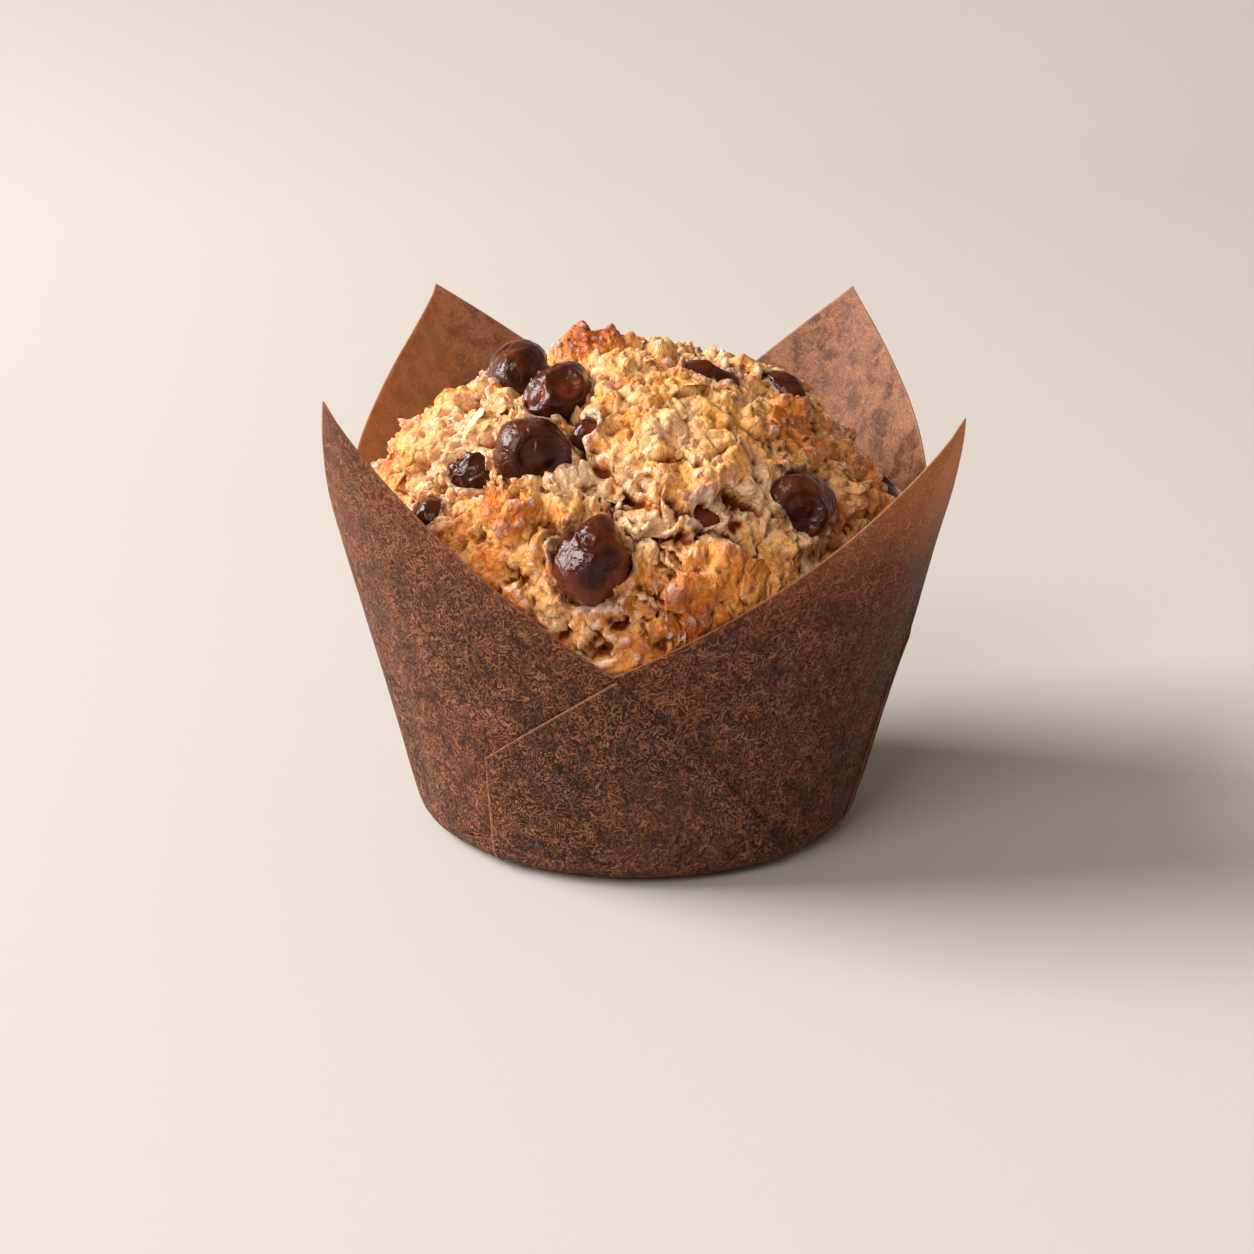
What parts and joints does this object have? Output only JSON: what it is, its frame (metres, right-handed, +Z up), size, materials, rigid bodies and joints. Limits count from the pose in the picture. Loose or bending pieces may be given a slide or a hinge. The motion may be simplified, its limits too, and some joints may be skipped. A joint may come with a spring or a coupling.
{
  "type": "muffin in paper case",
  "caption": "Craggy oat muffin with chocolate chips, baked in a tulip-fold brown paper case with four upright points.",
  "frame": {"origin": "middle of the case's flat base, on the plane that it rests on", "axes": "+Z up, -Y towards the front, where the paper folds in a V over a wide panel, +X to the right seen from the front"},
  "size_m": [0.08, 0.0822, 0.0667],
  "materials": {
    "baking_paper": "brown greaseproof paper, mottled, faint satin sheen",
    "crumb": "golden oat crust, matte, browned on the high spots",
    "chocolate": "dark chocolate, melted and set, glossy"
  },
  "bodies": {
    "root": {"paper_case": "baking_paper", "muffin_crumb": "crumb", "chocolate_chip_01": "chocolate", "chocolate_chip_02": "chocolate", "chocolate_chip_03": "chocolate", "chocolate_chip_04": "chocolate", "chocolate_chip_05": "chocolate", "chocolate_chip_06": "chocolate", "chocolate_chip_07": "chocolate", "chocolate_chip_08": "chocolate", "chocolate_chip_09": "chocolate", "chocolate_chip_10": "chocolate", "chocolate_chip_11": "chocolate", "chocolate_chip_12": "chocolate", "chocolate_chip_13": "chocolate", "chocolate_chip_14": "chocolate", "chocolate_chip_15": "chocolate", "chocolate_chip_16": "chocolate", "chocolate_chip_17": "chocolate", "chocolate_chip_18": "chocolate", "chocolate_chip_19": "chocolate", "chocolate_chip_20": "chocolate", "chocolate_chip_21": "chocolate"}
  },
  "joints": []
}
